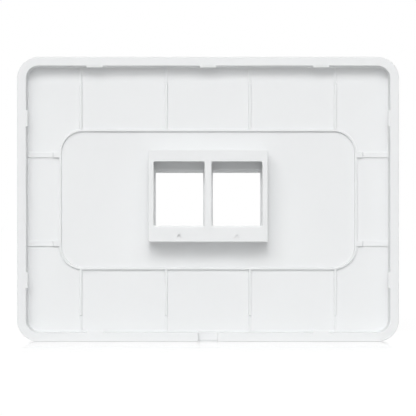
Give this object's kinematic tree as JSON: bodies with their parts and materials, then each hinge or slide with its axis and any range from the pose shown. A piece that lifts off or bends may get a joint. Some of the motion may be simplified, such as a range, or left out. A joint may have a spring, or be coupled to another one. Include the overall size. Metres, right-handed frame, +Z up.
{
  "type": "keystone faceplate",
  "caption": "Moulded white wall cover with a clip-on rim and a rear block holding two keystone ports.",
  "frame": {"origin": "middle of the rim's rear edge, in the plane that lies against the wall", "axes": "+X along the cover's long side, +Y out of the back into the wall, +Z up; the visible front faces -Y"},
  "size_m": [0.118, 0.01, 0.088],
  "materials": {
    "white_plastic": "fine moulded texture, slightly cool white"
  },
  "bodies": {
    "root": {"faceplate": "white_plastic"}
  },
  "joints": []
}
